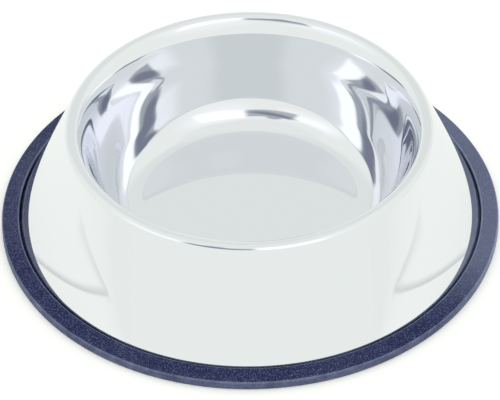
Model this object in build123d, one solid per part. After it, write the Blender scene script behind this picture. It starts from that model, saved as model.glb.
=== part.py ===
from build123d import *
import os
from math import asin, atan2, cos, degrees, hypot, radians, sin, tan

# Polished steel bowl with a flared skirt, held in a rubber ring.
# Sizes are in millimetres and angles in degrees. The origin is on the surface that the bowl
# stands on, below the middle of the basin, and +Z is up.

# Steel sheet and rim
sheet = 0.6
overall_height = 60.8
rim_diameter = 183.4
roll_radius = 3.8
roll_end_tilt = 54.2

# Basin, measured on its polished side, with a slightly crowned floor
floor_height = 7.4
crown_tilt = 0.8
lower_fillet = 14.9
middle_fillet = 38.8
upper_fillet = 110.0
middle_start_tilt = 52.5
upper_start_tilt = 64.8
wall_draft = 15.6
shoulder_radius = 27.5

# Flange at the skirt's foot
foot_bend_radius = 0.8
flange_width = 3.3

# Rubber ring
base_diameter = 250.0
ring_wall = 4.85
ring_lip_width = 8.8
ring_heel = 2.0
ring_seat_height = 2.0
ring_edge_height = 4.8
ring_lip_height = 6.5
ring_edge_round = 1.5
ring_foot_round = 1.0
ring_lip_round = 0.7
ring_clearance = 0.15

# Radii, levels and angles that follow from those sizes
base_radius = base_diameter / 2
flange_radius = base_radius - ring_wall - ring_clearance
foot_radius = flange_radius - flange_width
flange_top = ring_seat_height + sheet
wall_tilt = 90.0 - wall_draft


def along_normal(start, distance, tilt):
    """Point at a distance from a start, along a normal that leans by tilt from upright to the axis."""
    return (start[0] - distance * sin(radians(tilt)), start[1] + distance * cos(radians(tilt)))


def in_section(point):
    """Place of a radius and a height in the section plane."""
    return (point[0], 0, point[1])


def bend(center, radius, start_tilt, end_tilt):
    """Arc between two tilts of its normal. A negative radius gives a hollow bend."""
    tilts = (start_tilt, (start_tilt + end_tilt) / 2, end_tilt)
    return ThreePointArc(*[in_section(along_normal(center, radius, tilt)) for tilt in tilts])


# Centers of the rim's bends, each on the normal that it shares with its neighbour
roll_center = (rim_diameter / 2 - roll_radius, overall_height - roll_radius)
shoulder_center = along_normal(roll_center, roll_radius - shoulder_radius, roll_end_tilt)
wall_top = along_normal(shoulder_center, shoulder_radius, wall_tilt)

# The fillet is blended from three radii. They stand on the floor, so their heights are known,
# and the sloping wall gives their distances from the axis.
middle_step = middle_fillet - lower_fillet
upper_step = upper_fillet - middle_fillet
lower_center_height = floor_height + lower_fillet
middle_center_height = along_normal((0, lower_center_height), middle_step, middle_start_tilt)[1]
upper_center_height = along_normal((0, middle_center_height), upper_step, upper_start_tilt)[1]
wall_foot_height = along_normal((0, upper_center_height), -upper_fillet, wall_tilt)[1]
wall_run = (wall_top[1] - wall_foot_height) * tan(radians(wall_draft))
wall_foot = (wall_top[0] - wall_run, wall_foot_height)
upper_center = along_normal(wall_foot, upper_fillet, wall_tilt)
middle_center = along_normal(upper_center, -upper_step, upper_start_tilt)
lower_center = along_normal(middle_center, -middle_step, middle_start_tilt)

# The crown of the floor runs smoothly into the lowest fillet.
floor_edge = along_normal(lower_center, -lower_fillet, -crown_tilt)
crown_radius = floor_edge[0] / sin(radians(crown_tilt))
crown_center = along_normal(floor_edge, -crown_radius, -crown_tilt)

# The skirt runs straight from the corner of the foot to where it touches the rim's roll.
foot_corner = (foot_radius, flange_top)
run_out = foot_corner[0] - roll_center[0]
run_down = roll_center[1] - foot_corner[1]
skirt_slope = degrees(atan2(run_out, run_down) - asin(roll_radius / hypot(run_out, run_down)))
skirt_tilt = skirt_slope - 90.0
bend_inset = (1 - sin(radians(skirt_slope))) / cos(radians(skirt_slope))
foot_center = (foot_corner[0] + foot_bend_radius * bend_inset, foot_corner[1] + foot_bend_radius)


def sheet_line(depth):
    """Edges of the sheet at a depth below its polished side, from the axis to the flange's edge."""
    floor = bend(crown_center, crown_radius - depth, 0, -crown_tilt)
    lower = bend(lower_center, -(lower_fillet + depth), -crown_tilt, middle_start_tilt)
    middle = bend(middle_center, -(middle_fillet + depth), middle_start_tilt, upper_start_tilt)
    upper = bend(upper_center, -(upper_fillet + depth), upper_start_tilt, wall_tilt)
    shoulder = bend(shoulder_center, shoulder_radius - depth, wall_tilt, roll_end_tilt)
    roll = bend(roll_center, roll_radius - depth, roll_end_tilt, skirt_tilt)
    foot = bend(foot_center, -(foot_bend_radius + depth), skirt_tilt, 0)
    wall = Line(upper @ 1, shoulder @ 0)
    skirt = Line(roll @ 1, foot @ 0)
    flange = Line(foot @ 1, in_section((flange_radius, flange_top - depth)))
    return [floor, lower, middle, upper, wall, shoulder, roll, skirt, foot, flange]


def make_steel_bowl():
    """One drawn sheet: basin, rolled rim, skirt and foot flange."""
    polished = sheet_line(0)
    inner = sheet_line(sheet)
    axis_end = Line(polished[0] @ 0, inner[0] @ 0)
    flange_edge = Line(polished[-1] @ 1, inner[-1] @ 1)
    section = make_face([*polished, flange_edge, *inner, axis_end])
    return revolve(section, Axis.Z)


def foot_room():
    """Section of the room that the ring leaves for the skirt's foot and its flange."""
    skirt_top = in_section(along_normal(roll_center, roll_radius + ring_clearance, skirt_tilt))
    foot = bend(foot_center, -(foot_bend_radius - ring_clearance), skirt_tilt, 0)
    corners = [
        in_section((flange_radius + ring_clearance, flange_top + ring_clearance)),
        in_section((flange_radius + ring_clearance, ring_seat_height)),
        in_section((skirt_top[0], ring_seat_height)),
    ]
    return make_face([Line(skirt_top, foot @ 0), foot, Polyline(foot @ 1, *corners, skirt_top)])


def rounded(section, corner, radius):
    """Section with the corner nearest to a point rounded off."""
    vertex = section.vertices().sort_by_distance(in_section(corner))[0]
    return fillet(vertex, radius)


def make_rubber_ring():
    """Moulded ring: flat underside, seat and groove for the flange, lip that stands off the skirt."""
    bore = foot_radius - ring_heel
    lip = base_radius - ring_lip_width
    foot_outer = (base_radius, 0)
    edge = (base_radius, ring_edge_height)
    lip_top = (lip, ring_lip_height)
    corners = [(bore, 0), foot_outer, edge, lip_top, (lip, ring_seat_height), (bore, ring_seat_height)]
    section = make_face(Polyline(*[in_section(corner) for corner in corners], close=True))
    section -= foot_room()
    section = rounded(section, foot_outer, ring_foot_round)
    section = rounded(section, edge, ring_edge_round)
    section = rounded(section, lip_top, ring_lip_round)
    return revolve(section, Axis.Z)


os.makedirs("parts", exist_ok=True)
export_step(make_steel_bowl(), "parts/steel_bowl.step")
export_step(make_rubber_ring(), "parts/rubber_ring.step")
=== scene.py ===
"""Looks of a polished steel pet bowl in its rubber ring, on a pale floor inside a white light tent."""
import logging
import math
from collections.abc import Iterable, Mapping
from dataclasses import dataclass
from enum import Enum
from typing import Any

import bmesh
import bpy
from mathutils import Matrix, Vector


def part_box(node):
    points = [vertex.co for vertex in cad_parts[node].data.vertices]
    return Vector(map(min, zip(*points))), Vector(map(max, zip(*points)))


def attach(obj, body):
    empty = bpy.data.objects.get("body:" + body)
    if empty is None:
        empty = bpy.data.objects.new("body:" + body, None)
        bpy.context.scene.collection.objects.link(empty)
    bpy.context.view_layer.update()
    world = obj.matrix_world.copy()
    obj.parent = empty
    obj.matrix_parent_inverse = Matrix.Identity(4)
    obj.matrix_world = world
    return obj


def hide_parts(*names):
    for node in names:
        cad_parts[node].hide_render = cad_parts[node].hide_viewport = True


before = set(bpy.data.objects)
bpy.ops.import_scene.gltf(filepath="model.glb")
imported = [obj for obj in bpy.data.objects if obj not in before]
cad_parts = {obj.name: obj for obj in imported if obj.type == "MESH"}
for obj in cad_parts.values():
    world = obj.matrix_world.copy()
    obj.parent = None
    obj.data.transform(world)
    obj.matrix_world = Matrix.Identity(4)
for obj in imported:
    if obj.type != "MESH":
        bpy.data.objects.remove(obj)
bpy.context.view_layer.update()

Point = tuple[float, float]
Colour = tuple[float, float, float, float]
Socket = bpy.types.NodeSocket
Tree = bpy.types.NodeTree

LOG = logging.getLogger("pet_bowl")
BODY = "root"
RIGHT_ANGLE = 90.0

# Metres in a millimetre
MM = 0.001
# Points of a section that are closer than this, in millimetres, count as one.
SAME_POINT = 0.001
# Attribute that holds how far a face is polished on the sheet, and its painted sheen and highlight on the
# ring
POLISH_AND_PAINTED_LIGHT = "polish_and_painted_light"
# Middle of what a noise texture gives
NOISE_MIDDLE = 0.5
# Half width, in degrees, of a patch that goes all round the tent
ALL_ROUND = 400.0
# A Mix node has sockets of the same name for each type of data, so they go by number here.
SHARE, NUMBER_A, NUMBER_B, COLOUR_A, COLOUR_B = 0, 2, 3, 6, 7
NUMBER_OUT, COLOUR_OUT = 0, 2


def linear(hex_colour: str) -> Colour:
    """Turn an sRGB hex value into a linear colour.

    Args:
        hex_colour: Six hex digits after a hash sign.

    Returns:
        Red, green, blue and a full alpha.
    """
    parts = [int(hex_colour[start:start + 2], 16) / 255 for start in (1, 3, 5)]
    # These are the numbers of the sRGB standard's own curve.
    red, green, blue = (v / 12.92 if v <= 0.04045 else ((v + 0.055) / 1.055) ** 2.4 for v in parts)
    return (red, green, blue, 1.0)


def add_node(tree: Tree, kind: str, inputs: Mapping[int | str, Any] | None = None,
             **settings: Any) -> bpy.types.Node:
    """Add one node with its settings, values and links.

    Args:
        tree: Node tree that takes the node.
        kind: Blender's name for the kind of node.
        inputs: Values or sockets to link, by the input's name or number.
        settings: Properties of the node.

    Returns:
        The new node.
    """
    node = tree.nodes.new(kind)
    for name, value in settings.items():
        setattr(node, name, value)
    for key, value in (inputs or {}).items():
        if isinstance(value, Socket):
            tree.links.new(value, node.inputs[key])
        else:
            node.inputs[key].default_value = value
    return node


def link_object(name: str, mesh: bpy.types.Mesh) -> bpy.types.Object:
    """Put a mesh into the scene as an object at the origin.

    Args:
        name: Name of the object and of its mesh.
        mesh: The mesh that it shows.

    Returns:
        The new object.
    """
    mesh.name = name
    made = bpy.data.objects.new(name, mesh)
    bpy.context.scene.collection.objects.link(made)
    return made


class Face(Enum):
    """How far a face is polished on the sheet, and how pale it is painted on the ring: a painted sheen on the
    outer face, a painted highlight on the rounds.
    """

    # A painted highlight on the ring's rounded edge and lip.
    PAINTED_HIGHLIGHT = 1.7
    # Polished on the sheet, and a painted sheen on the ring's outer face.
    POLISH_AND_PAINTED_LIGHT = 1.0
    PLAIN = 0.0


class PatchShape(Enum):
    """Outline of a patch of the tent."""

    PANEL = "panel"
    ROUND = "round"


@dataclass(frozen=True)
class Arc:
    """Bend of a section about a center, between two tilts of its normal, in millimetres and degrees."""

    center: Point
    radius: float
    start_tilt: float
    end_tilt: float

    def at(self, share: float) -> Point:
        """Give the point at a share of the way round."""
        tilt = self.start_tilt + (self.end_tilt - self.start_tilt) * share
        return along_normal(self.center, self.radius, tilt)

    def points(self, facet: float, turn: float) -> list[Point]:
        """Divide the bend into facets.

        Args:
            facet: Longest facet, in millimetres.
            turn: Largest turn of one facet, in degrees.

        Returns:
            The points after the first one.
        """
        sweep = abs(self.end_tilt - self.start_tilt)
        count = math.ceil(max(sweep / turn, abs(self.radius) * math.radians(sweep) / facet))
        return [self.at(step / count) for step in range(1, count + 1)]


def along_normal(start: Point, distance: float, tilt: float) -> Point:
    """Move a point along a normal of the section.

    Args:
        start: Radius and height of the point.
        distance: How far to go, in millimetres.
        tilt: Lean of the normal from upright towards the axis, in degrees.

    Returns:
        Radius and height of the place reached.
    """
    lean = math.radians(tilt)
    return (start[0] - distance * math.sin(lean), start[1] + distance * math.cos(lean))


def straight(start: Point, end: Point, facet: float) -> list[Point]:
    """Divide a straight run of a section.

    Args:
        start: First point, which is left out.
        end: Last point.
        facet: Longest facet, in millimetres.

    Returns:
        The points after the first one.
    """
    count = math.ceil(math.dist(start, end) / facet)
    return [
        (start[0] + (end[0] - start[0]) * step / count, start[1] + (end[1] - start[1]) * step / count)
        for step in range(1, count + 1)
    ]


def rounded(before: Point, corner: Point, after: Point, radius: float, facets: int) -> list[Point]:
    """Round off a corner of a section.

    Args:
        before: Point before the corner.
        corner: The corner.
        after: Point after the corner.
        radius: Radius of the round, in millimetres.
        facets: Number of facets in the round.

    Returns:
        Points of the round, both ends included.
    """
    place, back, ahead = Vector(corner), Vector(before), Vector(after)
    into = (back - place).normalized()
    out = (ahead - place).normalized()
    half = into.angle(out) / 2
    center = place + (into + out).normalized() * (radius / math.sin(half))
    first = place + into * (radius / math.tan(half)) - center
    last = place + out * (radius / math.tan(half)) - center
    sweep = first.angle_signed(last)
    turns = [Matrix.Rotation(-sweep * step / facets, 2) for step in range(facets + 1)]
    return [tuple(center + turn @ first) for turn in turns]


@dataclass(frozen=True)
class PolishedSteel:
    """Mirror-polished drawn stainless steel, with the sizes of its marks in millimetres."""

    # It gives bright, slightly cool reflections, and a dull grey where the sheet was left bare.
    colour: str = "#E9EBEF"
    bare_colour: str = "#C9CCCB"
    polished_roughness: float = 0.012
    haze_roughness: float = 0.02
    bare_roughness: float = 0.32
    haze_size: float = 28.0
    haze_detail: float = 4.0
    # Real buffing rings are finer, and these are as coarse as they need to be to show.
    buff_size: float = 1.2
    buff_detail: float = 1.0
    # Amounts of haze at which the steel is clear and at which it is dullest
    haze_start: float = 0.12
    haze_full: float = 0.40

    def material(self) -> bpy.types.Material:
        """Build the steel's material, whose roughness follows the polish of each face and its haze.

        Returns:
            The material.
        """
        made = bpy.data.materials.new("mirror_polished_stainless_steel")
        made.use_nodes = True
        tree = made.node_tree
        shader = tree.nodes["Principled BSDF"]
        shader.inputs["Metallic"].default_value = 1.0
        polished = add_node(tree, "ShaderNodeMapRange", {
            "Value": self.haze_amount(tree), "From Min": self.haze_start, "From Max": self.haze_full,
            "To Min": self.polished_roughness, "To Max": self.polished_roughness + self.haze_roughness,
        }).outputs["Result"]
        polish = add_node(tree, "ShaderNodeAttribute", attribute_name=POLISH_AND_PAINTED_LIGHT).outputs["Fac"]
        rough = add_node(tree, "ShaderNodeMix", {
            SHARE: polish, NUMBER_A: self.bare_roughness, NUMBER_B: polished,
        }).outputs[NUMBER_OUT]
        tone = add_node(tree, "ShaderNodeMix", {
            SHARE: polish, COLOUR_A: linear(self.bare_colour), COLOUR_B: linear(self.colour),
        }, data_type="RGBA").outputs[COLOUR_OUT]
        tree.links.new(rough, shader.inputs["Roughness"])
        tree.links.new(tone, shader.inputs["Base Color"])
        return made

    def haze_amount(self, tree: Tree) -> Socket:
        """Draw the soft haze that wiping leaves, broken by the fine rings that buffing leaves.

        Args:
            tree: The material's node tree.

        Returns:
            Socket with how hazy a place is.
        """
        place = add_node(tree, "ShaderNodeTexCoord").outputs["Object"]
        haze = add_node(tree, "ShaderNodeTexNoise", {
            "Vector": place, "Scale": 1 / (self.haze_size * MM), "Detail": self.haze_detail,
        }).outputs["Fac"]
        # Noise that depends only on a place's radius and height runs in rings round the axis.
        parts = add_node(tree, "ShaderNodeSeparateXYZ", {"Vector": place}).outputs
        flat = add_node(tree, "ShaderNodeCombineXYZ", {"X": parts["X"], "Y": parts["Y"]}).outputs["Vector"]
        radius = add_node(tree, "ShaderNodeVectorMath", {0: flat}, operation="LENGTH").outputs["Value"]
        run = add_node(tree, "ShaderNodeCombineXYZ", {"X": radius, "Y": parts["Z"]}).outputs["Vector"]
        rings = add_node(tree, "ShaderNodeTexNoise", {
            "Vector": run, "Scale": 1 / (self.buff_size * MM), "Detail": self.buff_detail,
        }).outputs["Fac"]
        return add_node(tree, "ShaderNodeMath", {0: haze, 1: rings}, operation="MULTIPLY").outputs["Value"]


@dataclass(frozen=True)
class MouldedRubber:
    """Moulded dark blue rubber, with the sizes of its patterns in millimetres."""

    # It gives a soft gloss on its rounds and pale filler specks, with a painted sheen in wide paler patches
    # and on the outer face, and a painted highlight on the rounded edge and the lip.
    dark: str = "#1C1B47"
    light: str = "#273158"
    speck: str = "#8187B0"
    painted_sheen: str = "#949DB9"
    roughness: float = 0.46
    gloss: float = 0.14
    mottle_size: float = 6.0
    mottle_detail: float = 5.0
    mottle_roughness: float = 0.65
    speck_size: float = 0.40
    speck_share: float = 0.32
    speck_cover: float = 0.8
    # Where a speck starts to fade and where it ends, as shares of its size from its middle
    speck_core: float = 0.2
    speck_edge: float = 0.6
    # The wide paler patches are a painted sheen.
    painted_sheen_size: float = 180.0
    painted_sheen_detail: float = 1.0
    painted_sheen_seed: float = 2.1
    painted_sheen_share: float = 0.36
    # Values of its noise at which the painted sheen starts and at which it is full
    painted_sheen_start: float = 0.44
    painted_sheen_full: float = 0.62
    # Share of paler colour painted on the outer face as sheen, and more on the rounds as highlight.
    painted_outer_share: float = 0.23
    grain_size: float = 0.6
    grain_detail: float = 2.0
    grain_depth: float = 0.06
    grain_strength: float = 0.5

    def material(self) -> bpy.types.Material:
        """Build the rubber's material from a mottled base, filler specks, painted sheen and highlights, and a
        moulded grain.

        Returns:
            The material.
        """
        made = bpy.data.materials.new("moulded_rubber_with_filler_specks")
        made.use_nodes = True
        tree = made.node_tree
        shader = tree.nodes["Principled BSDF"]
        shader.inputs["Roughness"].default_value = self.roughness
        shader.inputs["Specular IOR Level"].default_value = self.gloss
        place = add_node(tree, "ShaderNodeTexCoord").outputs["Object"]
        mottle = add_node(tree, "ShaderNodeTexNoise", {
            "Vector": place, "Scale": 1 / (self.mottle_size * MM), "Detail": self.mottle_detail,
            "Roughness": self.mottle_roughness,
        }).outputs["Fac"]
        colour = add_node(tree, "ShaderNodeMix", {
            SHARE: mottle, COLOUR_A: linear(self.dark), COLOUR_B: linear(self.light),
        }, data_type="RGBA").outputs[COLOUR_OUT]
        # The second mix paints sheen and highlights in a paler colour.
        for amount, cover in ((self.speck_amount(tree, place, mottle), self.speck),
                              (self.painted_sheen_amount(tree, place, mottle), self.painted_sheen)):
            colour = add_node(tree, "ShaderNodeMix", {
                SHARE: amount, COLOUR_A: colour, COLOUR_B: linear(cover),
            }, data_type="RGBA").outputs[COLOUR_OUT]
        tree.links.new(colour, shader.inputs["Base Color"])
        grain = add_node(tree, "ShaderNodeTexNoise", {
            "Vector": place, "Scale": 1 / (self.grain_size * MM), "Detail": self.grain_detail,
        }).outputs["Fac"]
        bump = add_node(tree, "ShaderNodeBump", {
            "Height": grain, "Strength": self.grain_strength, "Distance": self.grain_depth * MM,
        }).outputs["Normal"]
        tree.links.new(bump, shader.inputs["Normal"])
        return made

    def speck_amount(self, tree: Tree, place: Socket, mottle: Socket) -> Socket:
        """Scatter the filler specks, more of them where the mottle is light.

        Args:
            tree: The material's node tree.
            place: Object coordinates.
            mottle: The mottle, from 0 to 1.

        Returns:
            Socket with how far a place belongs to a speck.
        """
        cells = add_node(tree, "ShaderNodeTexVoronoi", {
            "Vector": place, "Scale": 1 / (self.speck_size * MM),
        }).outputs
        chance = add_node(tree, "ShaderNodeSeparateColor", {"Color": cells["Color"]}).outputs["Red"]
        limit = add_node(tree, "ShaderNodeMath", {
            0: mottle, 1: self.speck_share / NOISE_MIDDLE,
        }, operation="MULTIPLY").outputs["Value"]
        chosen = add_node(tree, "ShaderNodeMath", {0: chance, 1: limit}, operation="LESS_THAN")
        core = add_node(tree, "ShaderNodeMapRange", {
            "Value": cells["Distance"], "From Min": self.speck_core, "From Max": self.speck_edge,
            "To Min": self.speck_cover, "To Max": 0.0,
        }).outputs["Result"]
        return add_node(tree, "ShaderNodeMath", {
            0: chosen.outputs["Value"], 1: core,
        }, operation="MULTIPLY").outputs["Value"]

    def painted_sheen_amount(self, tree: Tree, place: Socket, mottle: Socket) -> Socket:
        """Spread a painted sheen in wide paler patches and over the outer face, with a painted highlight on
        the rounds.

        Args:
            tree: The material's node tree.
            place: Object coordinates.
            mottle: The mottle, from 0 to 1.

        Returns:
            Socket with how far the painted sheen and highlight cover a place.
        """
        drift = add_node(tree, "ShaderNodeTexNoise", {
            "Vector": place, "W": self.painted_sheen_seed, "Scale": 1 / (self.painted_sheen_size * MM),
            "Detail": self.painted_sheen_detail,
        }, noise_dimensions="4D").outputs["Fac"]
        # Wide paler patches: a painted sheen.
        patch = add_node(tree, "ShaderNodeMapRange", {
            "Value": drift, "From Min": self.painted_sheen_start, "From Max": self.painted_sheen_full,
            "To Min": 0.0, "To Max": self.painted_sheen_share,
        }).outputs["Result"]
        # The ring's outer face and rounds, painted paler as sheen and highlight.
        polish_and_painted_light = add_node(tree, "ShaderNodeAttribute", attribute_name=POLISH_AND_PAINTED_LIGHT).outputs["Fac"]
        painted_outer = add_node(tree, "ShaderNodeMath", {0: polish_and_painted_light, 1: mottle}, operation="MULTIPLY")
        return add_node(tree, "ShaderNodeMath", {
            0: painted_outer.outputs["Value"], 1: self.painted_outer_share / NOISE_MIDDLE, 2: patch,
        }, operation="MULTIPLY_ADD").outputs["Value"]


@dataclass(frozen=True)
class Waves:
    """Faint waviness of a surface, in millimetres, with a seed for where the waves lie."""

    height: float = 0.0
    length: float = 1000.0
    seed: float = 0.0


class TurnedTree:
    """Geometry Nodes tree that turns a half section about the upright axis."""

    INPUTS = {
        "Section": "NodeSocketGeometry",
        "Steps": "NodeSocketInt",
        "Carrier Radius": "NodeSocketFloat",
        "Wave Height": "NodeSocketFloat",
        "Wave Length": "NodeSocketFloat",
        "Wave Seed": "NodeSocketFloat",
        "Weld": "NodeSocketFloat",
        "Material": "NodeSocketMaterial",
    }
    WAVE_DETAIL = 1.0
    # Degrees between two faces from which their edge is shaded sharp
    SHARP_ANGLE = 40.0

    def __init__(self) -> None:
        """Build the tree, with its sizes as named inputs."""
        tree = bpy.data.node_groups.new("turned_section", "GeometryNodeTree")
        self.tree = tree
        self.sockets = {
            name: tree.interface.new_socket(name=name, in_out="INPUT", socket_type=kind).identifier
            for name, kind in self.INPUTS.items()
        }
        tree.interface.new_socket(name="Turned", in_out="OUTPUT", socket_type="NodeSocketGeometry")
        given = add_node(tree, "NodeGroupInput").outputs
        line = add_node(tree, "GeometryNodeMeshToCurve", {"Mesh": given["Section"]}).outputs["Curve"]
        rail = add_node(tree, "GeometryNodeCurvePrimitiveCircle", {
            "Resolution": given["Steps"], "Radius": given["Carrier Radius"],
        }).outputs["Curve"]
        upright = add_node(tree, "GeometryNodeSetCurveNormal", {"Curve": rail}, mode="Z_UP").outputs["Curve"]
        swept = add_node(tree, "GeometryNodeCurveToMesh", {
            "Curve": upright, "Profile Curve": line,
        }).outputs["Mesh"]
        welded = add_node(tree, "GeometryNodeMergeByDistance", {
            "Geometry": swept, "Distance": given["Weld"],
        }).outputs["Geometry"]
        wavy = add_node(tree, "GeometryNodeSetPosition", {
            "Geometry": welded, "Offset": self.wave_offset(given),
        }).outputs["Geometry"]
        smooth = add_node(tree, "GeometryNodeSetShadeSmooth", {"Geometry": wavy}).outputs["Geometry"]
        real = add_node(tree, "GeometryNodeRealizeInstances", {"Geometry": smooth}).outputs["Geometry"]
        dressed = add_node(tree, "GeometryNodeSetMaterial", {
            "Geometry": real, "Material": given["Material"],
        }).outputs["Geometry"]
        add_node(tree, "NodeGroupOutput", {"Turned": dressed})

    def wave_offset(self, given: Mapping[str, Socket]) -> Socket:
        """Find how far the waves move a point along its normal.

        Args:
            given: The tree's inputs, by name.

        Returns:
            Socket with the offset.
        """
        tree = self.tree
        scale = add_node(tree, "ShaderNodeMath", {0: 1.0, 1: given["Wave Length"]}, operation="DIVIDE")
        waves = add_node(tree, "ShaderNodeTexNoise", {
            "W": given["Wave Seed"], "Scale": scale.outputs["Value"], "Detail": self.WAVE_DETAIL,
        }, noise_dimensions="4D").outputs["Fac"]
        swing = add_node(tree, "ShaderNodeMath", {0: waves, 1: NOISE_MIDDLE}, operation="SUBTRACT")
        rise = add_node(tree, "ShaderNodeMath", {
            0: swing.outputs["Value"], 1: given["Wave Height"],
        }, operation="MULTIPLY").outputs["Value"]
        normal = add_node(tree, "GeometryNodeInputNormal").outputs["Normal"]
        return add_node(tree, "ShaderNodeVectorMath", {
            0: normal, "Scale": rise,
        }, operation="SCALE").outputs["Vector"]

    def turn(self, name: str, section: bpy.types.Mesh, carrier: float, steps: int, waves: Waves,
             material: bpy.types.Material) -> bpy.types.Object:
        """Turn a section into a plain mesh piece.

        Args:
            name: Name of the piece.
            section: Mesh of edges, measured from its carrier.
            carrier: Radius of the circle that carries the section, in millimetres.
            steps: Number of facets all round.
            waves: Waviness of the piece.
            material: Finish of the piece.

        Returns:
            The piece, with no modifier left on it.
        """
        values = {
            "Steps": steps, "Carrier Radius": carrier * MM, "Wave Height": waves.height * MM,
            "Wave Length": waves.length * MM, "Wave Seed": waves.seed, "Weld": SAME_POINT * MM,
            "Material": material,
        }
        holder = link_object(f"{name}_section", section)
        modifier = holder.modifiers.new("turned", "NODES")
        modifier.node_group = self.tree
        for key, value in values.items():
            modifier[self.sockets[key]] = value
        holder.update_tag()
        graph = bpy.context.evaluated_depsgraph_get()
        mesh = bpy.data.meshes.new_from_object(holder.evaluated_get(graph))
        holder.modifiers.clear()
        bpy.data.objects.remove(holder)
        shape = bmesh.new()
        shape.from_mesh(mesh)
        bmesh.ops.recalc_face_normals(shape, faces=shape.faces)
        if shape.calc_volume(signed=True) < 0:
            bmesh.ops.reverse_faces(shape, faces=shape.faces)
        shape.to_mesh(mesh)
        shape.free()
        mesh.set_sharp_from_angle(angle=math.radians(self.SHARP_ANGLE))
        return link_object(name, mesh)


def section_mesh(points: Iterable[tuple[float, float, Face]], carrier: float, closed: bool) -> bpy.types.Mesh:
    """Make the mesh of edges that a section is turned from.

    Args:
        points: Radius, height and face of each point, in millimetres.
        carrier: Radius of the circle that carries the section, in millimetres.
        closed: Whether the last point joins the first.

    Returns:
        The mesh, with each point's face as an attribute: polish on the sheet, painted sheen and highlight on
        the ring.
    """
    listed = list(points)
    mesh = bpy.data.meshes.new("section")
    places = [((radius - carrier) * MM, -height * MM, 0.0) for radius, height, _ in listed]
    edges = [(index, index + 1) for index in range(len(listed) - 1)]
    if closed:
        edges.append((len(listed) - 1, 0))
    mesh.from_pydata(places, edges, [])
    polish_and_painted_light = mesh.attributes.new(POLISH_AND_PAINTED_LIGHT, "FLOAT", "POINT")
    polish_and_painted_light.data.foreach_set("value", [face.value for _, _, face in listed])
    return mesh


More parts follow.
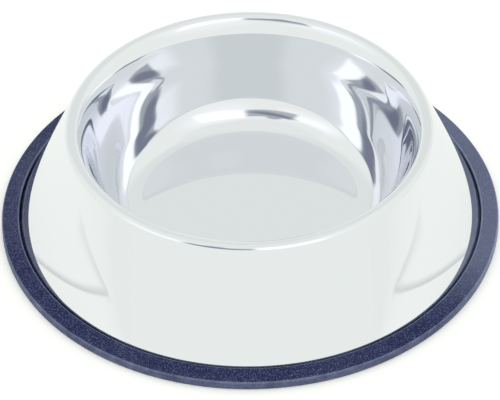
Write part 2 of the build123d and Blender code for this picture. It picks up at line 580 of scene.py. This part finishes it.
@dataclass
class SteelBowl:
    """Drawn sheet with basin, rolled rim, flared skirt and foot flange, in millimetres and degrees."""

    overall_height: float
    flange_radius: float
    flange_bottom: float
    sheet: float = 0.6
    rim_diameter: float = 183.4
    roll_radius: float = 3.8
    roll_end_tilt: float = 54.2
    shoulder_radius: float = 27.5
    wall_draft: float = 15.6
    upper_fillet: float = 110.0
    upper_start_tilt: float = 64.8
    middle_fillet: float = 38.8
    middle_start_tilt: float = 52.5
    lower_fillet: float = 14.9
    floor_height: float = 7.4
    crown_tilt: float = 0.8
    foot_bend_radius: float = 0.8
    flange_width: float = 3.3
    steps: int = 320
    facet: float = 1.6
    turn: float = 3.0
    hidden_facet: float = 5.0
    hidden_turn: float = 8.0
    # Pressing leaves the sheet faintly wavy, which a mirror finish shows.
    waves: Waves = Waves(height=0.05, length=26.0, seed=3.0)
    finish: PolishedSteel = PolishedSteel()

    @classmethod
    def from_frame(cls) -> "SteelBowl":
        """Take the sheet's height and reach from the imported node."""
        low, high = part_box("steel_bowl")
        return cls(overall_height=high.z / MM, flange_radius=high.x / MM, flange_bottom=low.z / MM)

    @property
    def foot_corner(self) -> Point:
        """Corner where the skirt's outer face would meet the flange's top."""
        return (self.flange_radius - self.flange_width, self.flange_bottom + self.sheet)

    @property
    def roll_center(self) -> Point:
        """Center of the rim's roll."""
        return (self.rim_diameter / 2 - self.roll_radius, self.overall_height - self.roll_radius)

    @property
    def skirt_slope(self) -> float:
        """Find the lean of the skirt that touches the rim's roll and ends at the foot's corner.

        Returns:
            The lean from upright, in degrees.
        """
        out = self.foot_corner[0] - self.roll_center[0]
        down = self.roll_center[1] - self.foot_corner[1]
        return math.degrees(math.atan2(out, down) - math.asin(self.roll_radius / math.hypot(out, down)))

    @property
    def foot_center(self) -> Point:
        """Find the center of the bend between the skirt and the flange.

        Returns:
            Radius and height of the center.
        """
        slope = math.radians(self.skirt_slope)
        inset = self.foot_bend_radius * (1 - math.sin(slope)) / math.cos(slope)
        return (self.foot_corner[0] + inset, self.foot_corner[1] + self.foot_bend_radius)

    def bends(self, depth: float) -> list[Arc]:
        """Find the sheet's bends at a depth below its polished side.

        Args:
            depth: Distance below the polished side, in millimetres.

        Returns:
            Crowned floor, the fillet's three bends, shoulder, roll and foot bend, from the axis outwards.
        """
        wall_tilt = RIGHT_ANGLE - self.wall_draft
        skirt_tilt = self.skirt_slope - RIGHT_ANGLE
        middle_step = self.middle_fillet - self.lower_fillet
        upper_step = self.upper_fillet - self.middle_fillet
        roll_step = self.roll_radius - self.shoulder_radius
        shoulder_center = along_normal(self.roll_center, roll_step, self.roll_end_tilt)
        wall_top = along_normal(shoulder_center, self.shoulder_radius, wall_tilt)
        # The floor sets how high the fillet's bends lie, and the wall sets how far out.
        lower_height = self.floor_height + self.lower_fillet
        middle_height = along_normal((0.0, lower_height), middle_step, self.middle_start_tilt)[1]
        upper_height = along_normal((0.0, middle_height), upper_step, self.upper_start_tilt)[1]
        foot_height = along_normal((0.0, upper_height), -self.upper_fillet, wall_tilt)[1]
        wall_run = (wall_top[1] - foot_height) * math.tan(math.radians(self.wall_draft))
        wall_foot = (wall_top[0] - wall_run, foot_height)
        upper_center = along_normal(wall_foot, self.upper_fillet, wall_tilt)
        middle_center = along_normal(upper_center, -upper_step, self.upper_start_tilt)
        lower_center = along_normal(middle_center, -middle_step, self.middle_start_tilt)
        floor_edge = along_normal(lower_center, -self.lower_fillet, -self.crown_tilt)
        crown_radius = floor_edge[0] / math.sin(math.radians(self.crown_tilt))
        crown_center = along_normal(floor_edge, -crown_radius, -self.crown_tilt)
        return [
            Arc(crown_center, crown_radius - depth, 0.0, -self.crown_tilt),
            Arc(lower_center, -(self.lower_fillet + depth), -self.crown_tilt, self.middle_start_tilt),
            Arc(middle_center, -(self.middle_fillet + depth), self.middle_start_tilt, self.upper_start_tilt),
            Arc(upper_center, -(self.upper_fillet + depth), self.upper_start_tilt, wall_tilt),
            Arc(shoulder_center, self.shoulder_radius - depth, wall_tilt, self.roll_end_tilt),
            Arc(self.roll_center, self.roll_radius - depth, self.roll_end_tilt, skirt_tilt),
            Arc(self.foot_center, -(self.foot_bend_radius + depth), skirt_tilt, 0.0),
        ]

    def line(self, depth: float, facet: float, turn: float) -> list[Point]:
        """Divide one side of the sheet from the axis to the flange's edge.

        Args:
            depth: Distance below the polished side, in millimetres.
            facet: Longest facet, in millimetres.
            turn: Largest turn of one facet, in degrees.

        Returns:
            Radius and height of the points.
        """
        bends = self.bends(depth)
        points = [(0.0, bends[0].at(0.0)[1])]
        for arc in bends:
            if math.dist(points[-1], arc.at(0.0)) > SAME_POINT:
                points += straight(points[-1], arc.at(0.0), facet)
            points += arc.points(facet, turn)
        return points + straight(points[-1], (self.flange_radius, points[-1][1]), facet)

    def build(self, tree: TurnedTree) -> bpy.types.Object:
        """Turn the sheet, dress it and set it on its body.

        Args:
            tree: Tree that turns a section.

        Returns:
            The finished piece.
        """
        points = [(*point, Face.POLISH_AND_PAINTED_LIGHT) for point in self.line(0.0, self.facet, self.turn)]
        hidden = self.line(self.sheet, self.hidden_facet, self.hidden_turn)
        points += [(*point, Face.PLAIN) for point in reversed(hidden)]
        carrier = self.roll_center[0]
        section = section_mesh(points, carrier, closed=False)
        piece = tree.turn("polished_sheet", section, carrier, self.steps, self.waves, self.finish.material())
        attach(piece, BODY)
        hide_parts("steel_bowl")
        return piece


@dataclass
class RubberRing:
    """Moulded ring that grips the foot flange, in millimetres and degrees."""

    base_radius: float
    bowl: SteelBowl
    ring_lip_width: float = 8.8
    ring_heel: float = 2.0
    ring_edge_height: float = 4.8
    ring_lip_height: float = 6.5
    ring_edge_round: float = 1.5
    ring_foot_round: float = 1.0
    ring_lip_round: float = 0.7
    ring_clearance: float = 0.15
    # How far in from the outermost radius the painted sheen and highlight reach
    painted_edge_width: float = 0.55
    steps: int = 320
    facet: float = 0.8
    facet_turn: float = 12.0
    # Unlike the sheet, the moulded ring has no waves.
    waves: Waves = Waves()
    finish: MouldedRubber = MouldedRubber()

    @classmethod
    def from_frame(cls, bowl: SteelBowl) -> "RubberRing":
        """Take the ring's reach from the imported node, and the rest from the bowl that it grips."""
        return cls(base_radius=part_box("rubber_ring")[1].x / MM, bowl=bowl)

    def groove(self) -> list[Point]:
        """Trace the groove that holds the flange.

        Returns:
            Radius and height of the points, from the lip's foot to the seat inside the bore.
        """
        bowl = self.bowl
        lip = self.base_radius - self.ring_lip_width
        bend = bowl.foot_bend_radius - self.ring_clearance
        roof = Arc(bowl.foot_center, -bend, bowl.skirt_slope - RIGHT_ANGLE, 0.0)
        skirt_end = roof.at(0.0)
        rise = (skirt_end[0] - lip) / math.tan(math.radians(bowl.skirt_slope))
        lip_foot = (lip, skirt_end[1] + rise)
        end = bowl.flange_radius + self.ring_clearance
        seat = bowl.flange_bottom
        corners = [(end, roof.at(1.0)[1]), (end, seat), (bowl.foot_corner[0] - self.ring_heel, seat)]
        return [lip_foot, skirt_end, *roof.points(self.facet, self.facet_turn), *corners]

    def outline(self) -> list[Point]:
        """Trace the ring's section, with its rounded corners.

        Returns:
            Radius and height of the points, from the bore outwards and back through the groove.
        """
        inside = self.groove()
        lip_foot, seat_end = inside[0], inside[-1]
        bore = (seat_end[0], 0.0)
        foot = (self.base_radius, 0.0)
        edge = (self.base_radius, self.ring_edge_height)
        lip_top = (lip_foot[0], self.ring_lip_height)
        corners = (
            (bore, foot, edge, self.ring_foot_round),
            (foot, edge, lip_top, self.ring_edge_round),
            (edge, lip_top, lip_foot, self.ring_lip_round),
        )
        facets = math.ceil(RIGHT_ANGLE / self.facet_turn)
        points = [bore]
        for before, corner, after, radius in corners:
            turned = rounded(before, corner, after, radius, facets)
            points += straight(points[-1], turned[0], self.facet) + turned[1:]
        for corner in inside:
            points += straight(points[-1], corner, self.facet)
        return points + straight(points[-1], bore, self.facet)[:-1]

    def face_at(self, point: Point) -> Face:
        """Tell how much painted light a point of the outline takes.

        Args:
            point: Radius and height of the point.

        Returns:
            A painted highlight on the upper half of the rounded edge and on the lip's round, a painted sheen
            on the outer face, plain elsewhere.
        """
        inset, drop = self.base_radius - point[0], self.ring_edge_height - point[1]
        # The outer face is painted paler as sheen, and the upper half of its rounded edge paler still as a
        # highlight.
        if inset < self.painted_edge_width:
            return Face.PAINTED_HIGHLIGHT if drop < self.ring_edge_round / 2 else Face.POLISH_AND_PAINTED_LIGHT
        # The lip's round gets a painted highlight.
        below_lip = self.ring_lip_height - point[1]
        on_lip = inset > self.ring_lip_width - self.ring_lip_round and below_lip < self.ring_lip_round
        return Face.PAINTED_HIGHLIGHT if on_lip else Face.PLAIN

    def build(self, tree: TurnedTree) -> bpy.types.Object:
        """Turn the ring, dress it and set it on its body.

        Args:
            tree: Tree that turns a section.

        Returns:
            The finished piece.
        """
        points = [(*point, self.face_at(point)) for point in self.outline()]
        carrier = self.base_radius
        section = section_mesh(points, carrier, closed=True)
        piece = tree.turn("rubber_foot", section, carrier, self.steps, self.waves, self.finish.material())
        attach(piece, BODY)
        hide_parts("rubber_ring")
        return piece


@dataclass(frozen=True)
class TentPatch:
    """Part of the tent that is brighter or darker than the rest, in degrees as seen from the bowl.

    Azimuth 0 is towards the camera, and to the right of it is positive. The slope is how far the patch
    climbs for each degree to the right, and the soft edge is a share of the half width and half height.
    """

    azimuth: float
    elevation: float
    half_width: float
    half_height: float
    colour: str
    soft: float
    radiance: float = 1.0
    shape: PatchShape = PatchShape.PANEL
    slope: float = 0.0

    def mask(self, tree: Tree, heading: Socket) -> Socket:
        """Find how far a direction lies inside the patch.

        Args:
            tree: The world's node tree.
            heading: Direction that is looked in.

        Returns:
            Socket that is 1 well inside the patch and 0 outside it.
        """
        turned = add_node(tree, "ShaderNodeVectorRotate", {
            "Vector": heading, "Angle": -math.radians(self.azimuth),
        }, rotation_type="Z_AXIS").outputs["Vector"]
        parts = add_node(tree, "ShaderNodeSeparateXYZ", {"Vector": turned}).outputs
        toward = add_node(tree, "ShaderNodeMath", {0: parts["Y"], 1: -1.0}, operation="MULTIPLY")
        across = add_node(tree, "ShaderNodeMath", {
            0: parts["X"], 1: toward.outputs["Value"],
        }, operation="ARCTAN2").outputs["Value"]
        height = add_node(tree, "ShaderNodeMath", {0: parts["Z"]}, operation="ARCSINE").outputs["Value"]
        middle = add_node(tree, "ShaderNodeMath", {
            0: across, 1: self.slope, 2: math.radians(self.elevation),
        }, operation="MULTIPLY_ADD").outputs["Value"]
        above = add_node(tree, "ShaderNodeMath", {0: height, 1: middle}, operation="SUBTRACT")
        sideways = add_node(tree, "ShaderNodeMath", {
            0: across, 1: math.radians(self.half_width),
        }, operation="DIVIDE").outputs["Value"]
        upward = add_node(tree, "ShaderNodeMath", {
            0: above.outputs["Value"], 1: math.radians(self.half_height),
        }, operation="DIVIDE").outputs["Value"]
        if self.shape is PatchShape.ROUND:
            flat = add_node(tree, "ShaderNodeCombineXYZ", {"X": sideways, "Y": upward}).outputs["Vector"]
            reach = add_node(tree, "ShaderNodeVectorMath", {0: flat}, operation="LENGTH").outputs["Value"]
        else:
            wide = add_node(tree, "ShaderNodeMath", {0: sideways}, operation="ABSOLUTE").outputs["Value"]
            high = add_node(tree, "ShaderNodeMath", {0: upward}, operation="ABSOLUTE").outputs["Value"]
            reach = add_node(tree, "ShaderNodeMath", {0: wide, 1: high}, operation="MAXIMUM").outputs["Value"]
        return add_node(tree, "ShaderNodeMapRange", {
            "Value": reach, "From Min": 1.0 - self.soft, "From Max": 1.0 + self.soft,
            "To Min": 1.0, "To Max": 0.0,
        }, interpolation_type="SMOOTHSTEP").outputs["Result"]


@dataclass(frozen=True)
class LightTent:
    """White light tent with two soft lamps, a dimmer roof and back, and a dark gap round the camera."""

    colour: str = "#FCFFFA"
    radiance: float = 1.0
    backdrop_colour: str = "#FFFFFF"
    roof: TentPatch = TentPatch(
        azimuth=0.0, elevation=78.0, half_width=ALL_ROUND, half_height=14.0, colour="#F7F9F5", soft=0.30)
    back: TentPatch = TentPatch(
        azimuth=180.0, elevation=42.0, half_width=48.0, half_height=24.0, colour="#EFF3EE", soft=0.30)
    right_halo: TentPatch = TentPatch(
        azimuth=28.0, elevation=44.0, half_width=31.0, half_height=21.0, colour="#FFFFFF", soft=0.60,
        radiance=1.11, shape=PatchShape.ROUND)
    right_lamp: TentPatch = TentPatch(
        azimuth=25.0, elevation=42.5, half_width=18.5, half_height=12.0, colour="#FFFFFF", soft=0.30,
        radiance=1.46, slope=-0.20)
    left_lamp: TentPatch = TentPatch(
        azimuth=-54.0, elevation=35.0, half_width=21.0, half_height=10.0, colour="#FFFFFF", soft=0.80,
        radiance=1.21, slope=0.15)
    gap: TentPatch = TentPatch(
        azimuth=-19.0, elevation=41.0, half_width=21.0, half_height=10.5, colour="#BCC2C5", soft=0.15,
        slope=0.10)
    gap_top: TentPatch = TentPatch(
        azimuth=-25.0, elevation=51.0, half_width=7.5, half_height=7.5, colour="#B4BAC2", soft=0.40,
        shape=PatchShape.ROUND)
    gap_core: TentPatch = TentPatch(
        azimuth=-21.0, elevation=40.5, half_width=21.0, half_height=5.6, colour="#8E92A2", soft=0.40,
        shape=PatchShape.ROUND, slope=-0.15)

    @property
    def patches(self) -> tuple[TentPatch, ...]:
        """Patches in the order in which they are painted over each other."""
        lamps = (self.right_halo, self.right_lamp, self.left_lamp)
        return (self.roof, self.back, *lamps, self.gap, self.gap_top, self.gap_core)

    def paint(self) -> None:
        """Paint the world as the tent, and as a plain backdrop where the camera looks past the floor."""
        world = bpy.data.worlds.new("white_light_tent")
        bpy.context.scene.world = world
        world.use_nodes = True
        tree = world.node_tree
        ground = tree.nodes["Background"]
        ground.inputs["Strength"].default_value = self.radiance
        heading = add_node(tree, "ShaderNodeTexCoord").outputs["Generated"]
        colour: Socket | Colour = linear(self.colour)
        for patch in self.patches:
            red, green, blue, alpha = linear(patch.colour)
            tint = (red * patch.radiance, green * patch.radiance, blue * patch.radiance, alpha)
            colour = add_node(tree, "ShaderNodeMix", {
                SHARE: patch.mask(tree, heading), COLOUR_A: colour, COLOUR_B: tint,
            }, data_type="RGBA").outputs[COLOUR_OUT]
        seen = add_node(tree, "ShaderNodeLightPath").outputs["Is Camera Ray"]
        shown = add_node(tree, "ShaderNodeMix", {
            SHARE: seen, COLOUR_A: colour, COLOUR_B: linear(self.backdrop_colour),
        }, data_type="RGBA").outputs[COLOUR_OUT]
        tree.links.new(shown, ground.inputs["Color"])


@dataclass(frozen=True)
class ShadeCorner:
    """Corner of the soft shade painted on the floor beside the bowl, in metres, and how dark it is there."""

    outward: float
    depthwise: float
    width: float
    darkness: float


@dataclass(frozen=True)
class PaperFloor:
    """Matt white paper, with sizes in metres."""

    # It gives an even, soft white that the steel mirrors as a pale skirt, and painted shades beside the bowl
    # that only mirrors show.
    colour: str = "#F7F7F4"
    radius: float = 6.0
    segments: int = 96
    seen_glow: float = 0.21
    near_glow: float = 0.152
    far_glow: float = 0.08
    # Distances from the bowl between which the mirrored glow fades
    fade_start: float = 0.3
    fade_end: float = 0.9
    shade: tuple[ShadeCorner, ...] = (
        ShadeCorner(outward=0.090, depthwise=-0.003, width=0.007, darkness=0.30),
        ShadeCorner(outward=0.560, depthwise=-0.270, width=0.040, darkness=0.23),
        ShadeCorner(outward=0.330, depthwise=0.020, width=0.060, darkness=0.08),
    )
    # Softness of the shade's outer edge as a share of its width, and of its ends as a share of their run
    shade_crisp: float = 0.15
    shade_end: float = 0.12

    def lay(self) -> None:
        """Lay the floor that the bowl stands on and shades."""
        shape = bmesh.new()
        bmesh.ops.create_circle(shape, cap_ends=True, radius=self.radius, segments=self.segments)
        mesh = bpy.data.meshes.new("studio_floor")
        shape.to_mesh(mesh)
        shape.free()
        mesh.materials.append(self.material())
        floor = link_object("studio_floor", mesh)

    def material(self) -> bpy.types.Material:
        """Build the paper's material, which glows a little, so that it looks white and still takes a shadow.

        Returns:
            The material.
        """
        made = bpy.data.materials.new("pale_paper_floor")
        made.use_nodes = True
        tree = made.node_tree
        tree.nodes.clear()
        place = add_node(tree, "ShaderNodeTexCoord").outputs["Object"]
        path = add_node(tree, "ShaderNodeLightPath").outputs
        mirrored = add_node(tree, "ShaderNodeMath", {
            0: path["Is Glossy Ray"], 1: path["Is Transmission Ray"],
        }, operation="MAXIMUM").outputs["Value"]
        paper = add_node(tree, "ShaderNodeBsdfDiffuse", {"Color": linear(self.colour)}).outputs["BSDF"]
        strength = self.glow_strength(tree, place, path["Is Camera Ray"], mirrored)
        glow = add_node(tree, "ShaderNodeEmission", {"Strength": strength}).outputs["Emission"]
        both = add_node(tree, "ShaderNodeAddShader", {0: paper, 1: glow}).outputs["Shader"]
        # A painted shade, shown only in mirrored rays.
        shade = add_node(tree, "ShaderNodeMath", {
            0: self.shade_amount(tree, place), 1: mirrored,
        }, operation="MULTIPLY").outputs["Value"]
        # The mix's second shader is left empty, which is black.
        shaded = add_node(tree, "ShaderNodeMixShader", {0: shade, 1: both}).outputs["Shader"]
        add_node(tree, "ShaderNodeOutputMaterial", {"Surface": shaded})
        return made

    def glow_strength(self, tree: Tree, place: Socket, seen: Socket, mirrored: Socket) -> Socket:
        """Make the glow even for the camera, and fading with distance in what the steel mirrors.

        Args:
            tree: The material's node tree.
            place: Object coordinates.
            seen: Whether the camera sees the floor itself.
            mirrored: Whether the floor is seen in a mirror or through glass.

        Returns:
            Socket with the glow's strength.
        """
        even = add_node(tree, "ShaderNodeMath", {0: seen, 1: self.seen_glow}, operation="MULTIPLY")
        reach = add_node(tree, "ShaderNodeVectorMath", {0: place}, operation="LENGTH").outputs["Value"]
        fading = add_node(tree, "ShaderNodeMapRange", {
            "Value": reach, "From Min": self.fade_start, "From Max": self.fade_end,
            "To Min": self.near_glow, "To Max": self.far_glow,
        }).outputs["Result"]
        return add_node(tree, "ShaderNodeMath", {
            0: mirrored, 1: fading, 2: even.outputs["Value"],
        }, operation="MULTIPLY_ADD").outputs["Value"]

    def shade_amount(self, tree: Tree, place: Socket) -> Socket:
        """Draw the soft painted shades beside the bowl, alike on both sides, which the skirt mirrors.

        Args:
            tree: The material's node tree.
            place: Object coordinates.

        Returns:
            Socket with how far a place is darkened.
        """
        parts = add_node(tree, "ShaderNodeSeparateXYZ", {"Vector": place}).outputs
        outward = add_node(tree, "ShaderNodeMath", {0: parts["X"]}, operation="ABSOLUTE").outputs["Value"]
        spot = add_node(tree, "ShaderNodeCombineXYZ", {"X": outward, "Y": parts["Y"]}).outputs["Vector"]
        amount: Socket | float = 0.0
        for start, end in zip(self.shade, self.shade[1:]):
            amount = add_node(tree, "ShaderNodeMath", {
                0: self.shade_run(tree, spot, start, end), 1: amount,
            }, operation="MAXIMUM").outputs["Value"]
        return amount

    def shade_run(self, tree: Tree, spot: Socket, start: ShadeCorner, end: ShadeCorner) -> Socket:
        """Draw one straight run of the shade, crisp on its outer edge and fading inwards.

        Args:
            tree: The material's node tree.
            spot: Place on the floor, with both sides of the bowl folded into one.
            start: Corner that the run starts from.
            end: Corner that it goes to.

        Returns:
            Socket with how far the run darkens a place.
        """
        corner = Vector((start.outward, start.depthwise, 0.0))
        run = Vector((end.outward, end.depthwise, 0.0)) - corner
        inward = Vector((-run.y, run.x, 0.0)).normalized()
        offset = add_node(tree, "ShaderNodeVectorMath", {
            0: spot, 1: corner,
        }, operation="SUBTRACT").outputs["Vector"]
        along = add_node(tree, "ShaderNodeVectorMath", {
            0: offset, 1: run / run.length_squared,
        }, operation="DOT_PRODUCT").outputs["Value"]
        across = add_node(tree, "ShaderNodeVectorMath", {
            0: offset, 1: inward,
        }, operation="DOT_PRODUCT").outputs["Value"]
        width = add_node(tree, "ShaderNodeMath", {
            0: along, 1: end.width - start.width, 2: start.width,
        }, operation="MULTIPLY_ADD").outputs["Value"]
        share = add_node(tree, "ShaderNodeMath", {0: across, 1: width}, operation="DIVIDE").outputs["Value"]
        mask = add_node(tree, "ShaderNodeMath", {
            0: along, 1: end.darkness - start.darkness, 2: start.darkness,
        }, operation="MULTIPLY_ADD").outputs["Value"]
        edges = (
            (share, -self.shade_crisp, self.shade_crisp),
            (share, 1.0, 0.0),
            (along, 0.0, self.shade_end),
            (along, 1.0, 1.0 - self.shade_end),
        )
        for value, dark_from, dark_by in edges:
            edge = add_node(tree, "ShaderNodeMapRange", {
                "Value": value, "From Min": dark_from, "From Max": dark_by,
            }, interpolation_type="SMOOTHSTEP").outputs["Result"]
            mask = add_node(tree, "ShaderNodeMath", {0: edge, 1: mask}, operation="MULTIPLY").outputs["Value"]
        return mask


@dataclass
class Studio:
    """Light tent, paper floor and camera, in metres and degrees, with lens and sensor in millimetres."""

    tent: LightTent = LightTent()
    floor: PaperFloor = PaperFloor()
    camera_distance: float = 1.7634
    camera_elevation: float = 41.40
    camera_roll: float = 0.70
    aim_height: float = 0.0109
    lens: float = 252.65
    sensor_width: float = 36.0
    view_reach: float = 50.0
    # The basin mirrors itself many times over, and its folds turn black where the light isn't followed far.
    mirror_bounces: int = 12

    def place_camera(self) -> None:
        """Place the camera at the photograph's viewing angle."""
        lens = bpy.data.cameras.new("photo_camera")
        lens.lens = self.lens
        lens.sensor_width = self.sensor_width
        lens.clip_end = self.view_reach
        lens.dof.use_dof = False
        camera = bpy.data.objects.new("photo_camera", lens)
        bpy.context.scene.collection.objects.link(camera)
        rise = math.radians(self.camera_elevation)
        roll = math.radians(self.camera_roll)
        back = Vector((0.0, -math.cos(rise), math.sin(rise)))
        right = Vector((1.0, 0.0, 0.0))
        up = Vector((0.0, math.sin(rise), math.cos(rise)))
        rolled_right = right * math.cos(roll) - up * math.sin(roll)
        rolled_up = right * math.sin(roll) + up * math.cos(roll)
        place = Vector((0.0, 0.0, self.aim_height)) + back * self.camera_distance
        turned = Matrix((rolled_right, rolled_up, back)).transposed().to_4x4()
        camera.matrix_world = Matrix.Translation(place) @ turned
        bpy.context.scene.camera = camera

    def build(self) -> None:
        """Set the stage round the bowl."""
        self.tent.paint()
        self.floor.lay()
        self.place_camera()
        bpy.context.scene.view_settings.view_transform = "Standard"
        bpy.context.scene.cycles.glossy_bounces = self.mirror_bounces


def main() -> None:
    """Build the studio, the bowl and its ring, and report each piece."""
    logging.basicConfig(level=logging.INFO)
    Studio().build()
    tree = TurnedTree()
    bowl = SteelBowl.from_frame()
    ring = RubberRing.from_frame(bowl)
    for piece in (bowl.build(tree), ring.build(tree)):
        size = piece.dimensions / MM
        LOG.info("%s: %d faces, %.1f x %.1f x %.1f mm", piece.name, len(piece.data.polygons), *size)


if __name__ == "__main__":
    main()
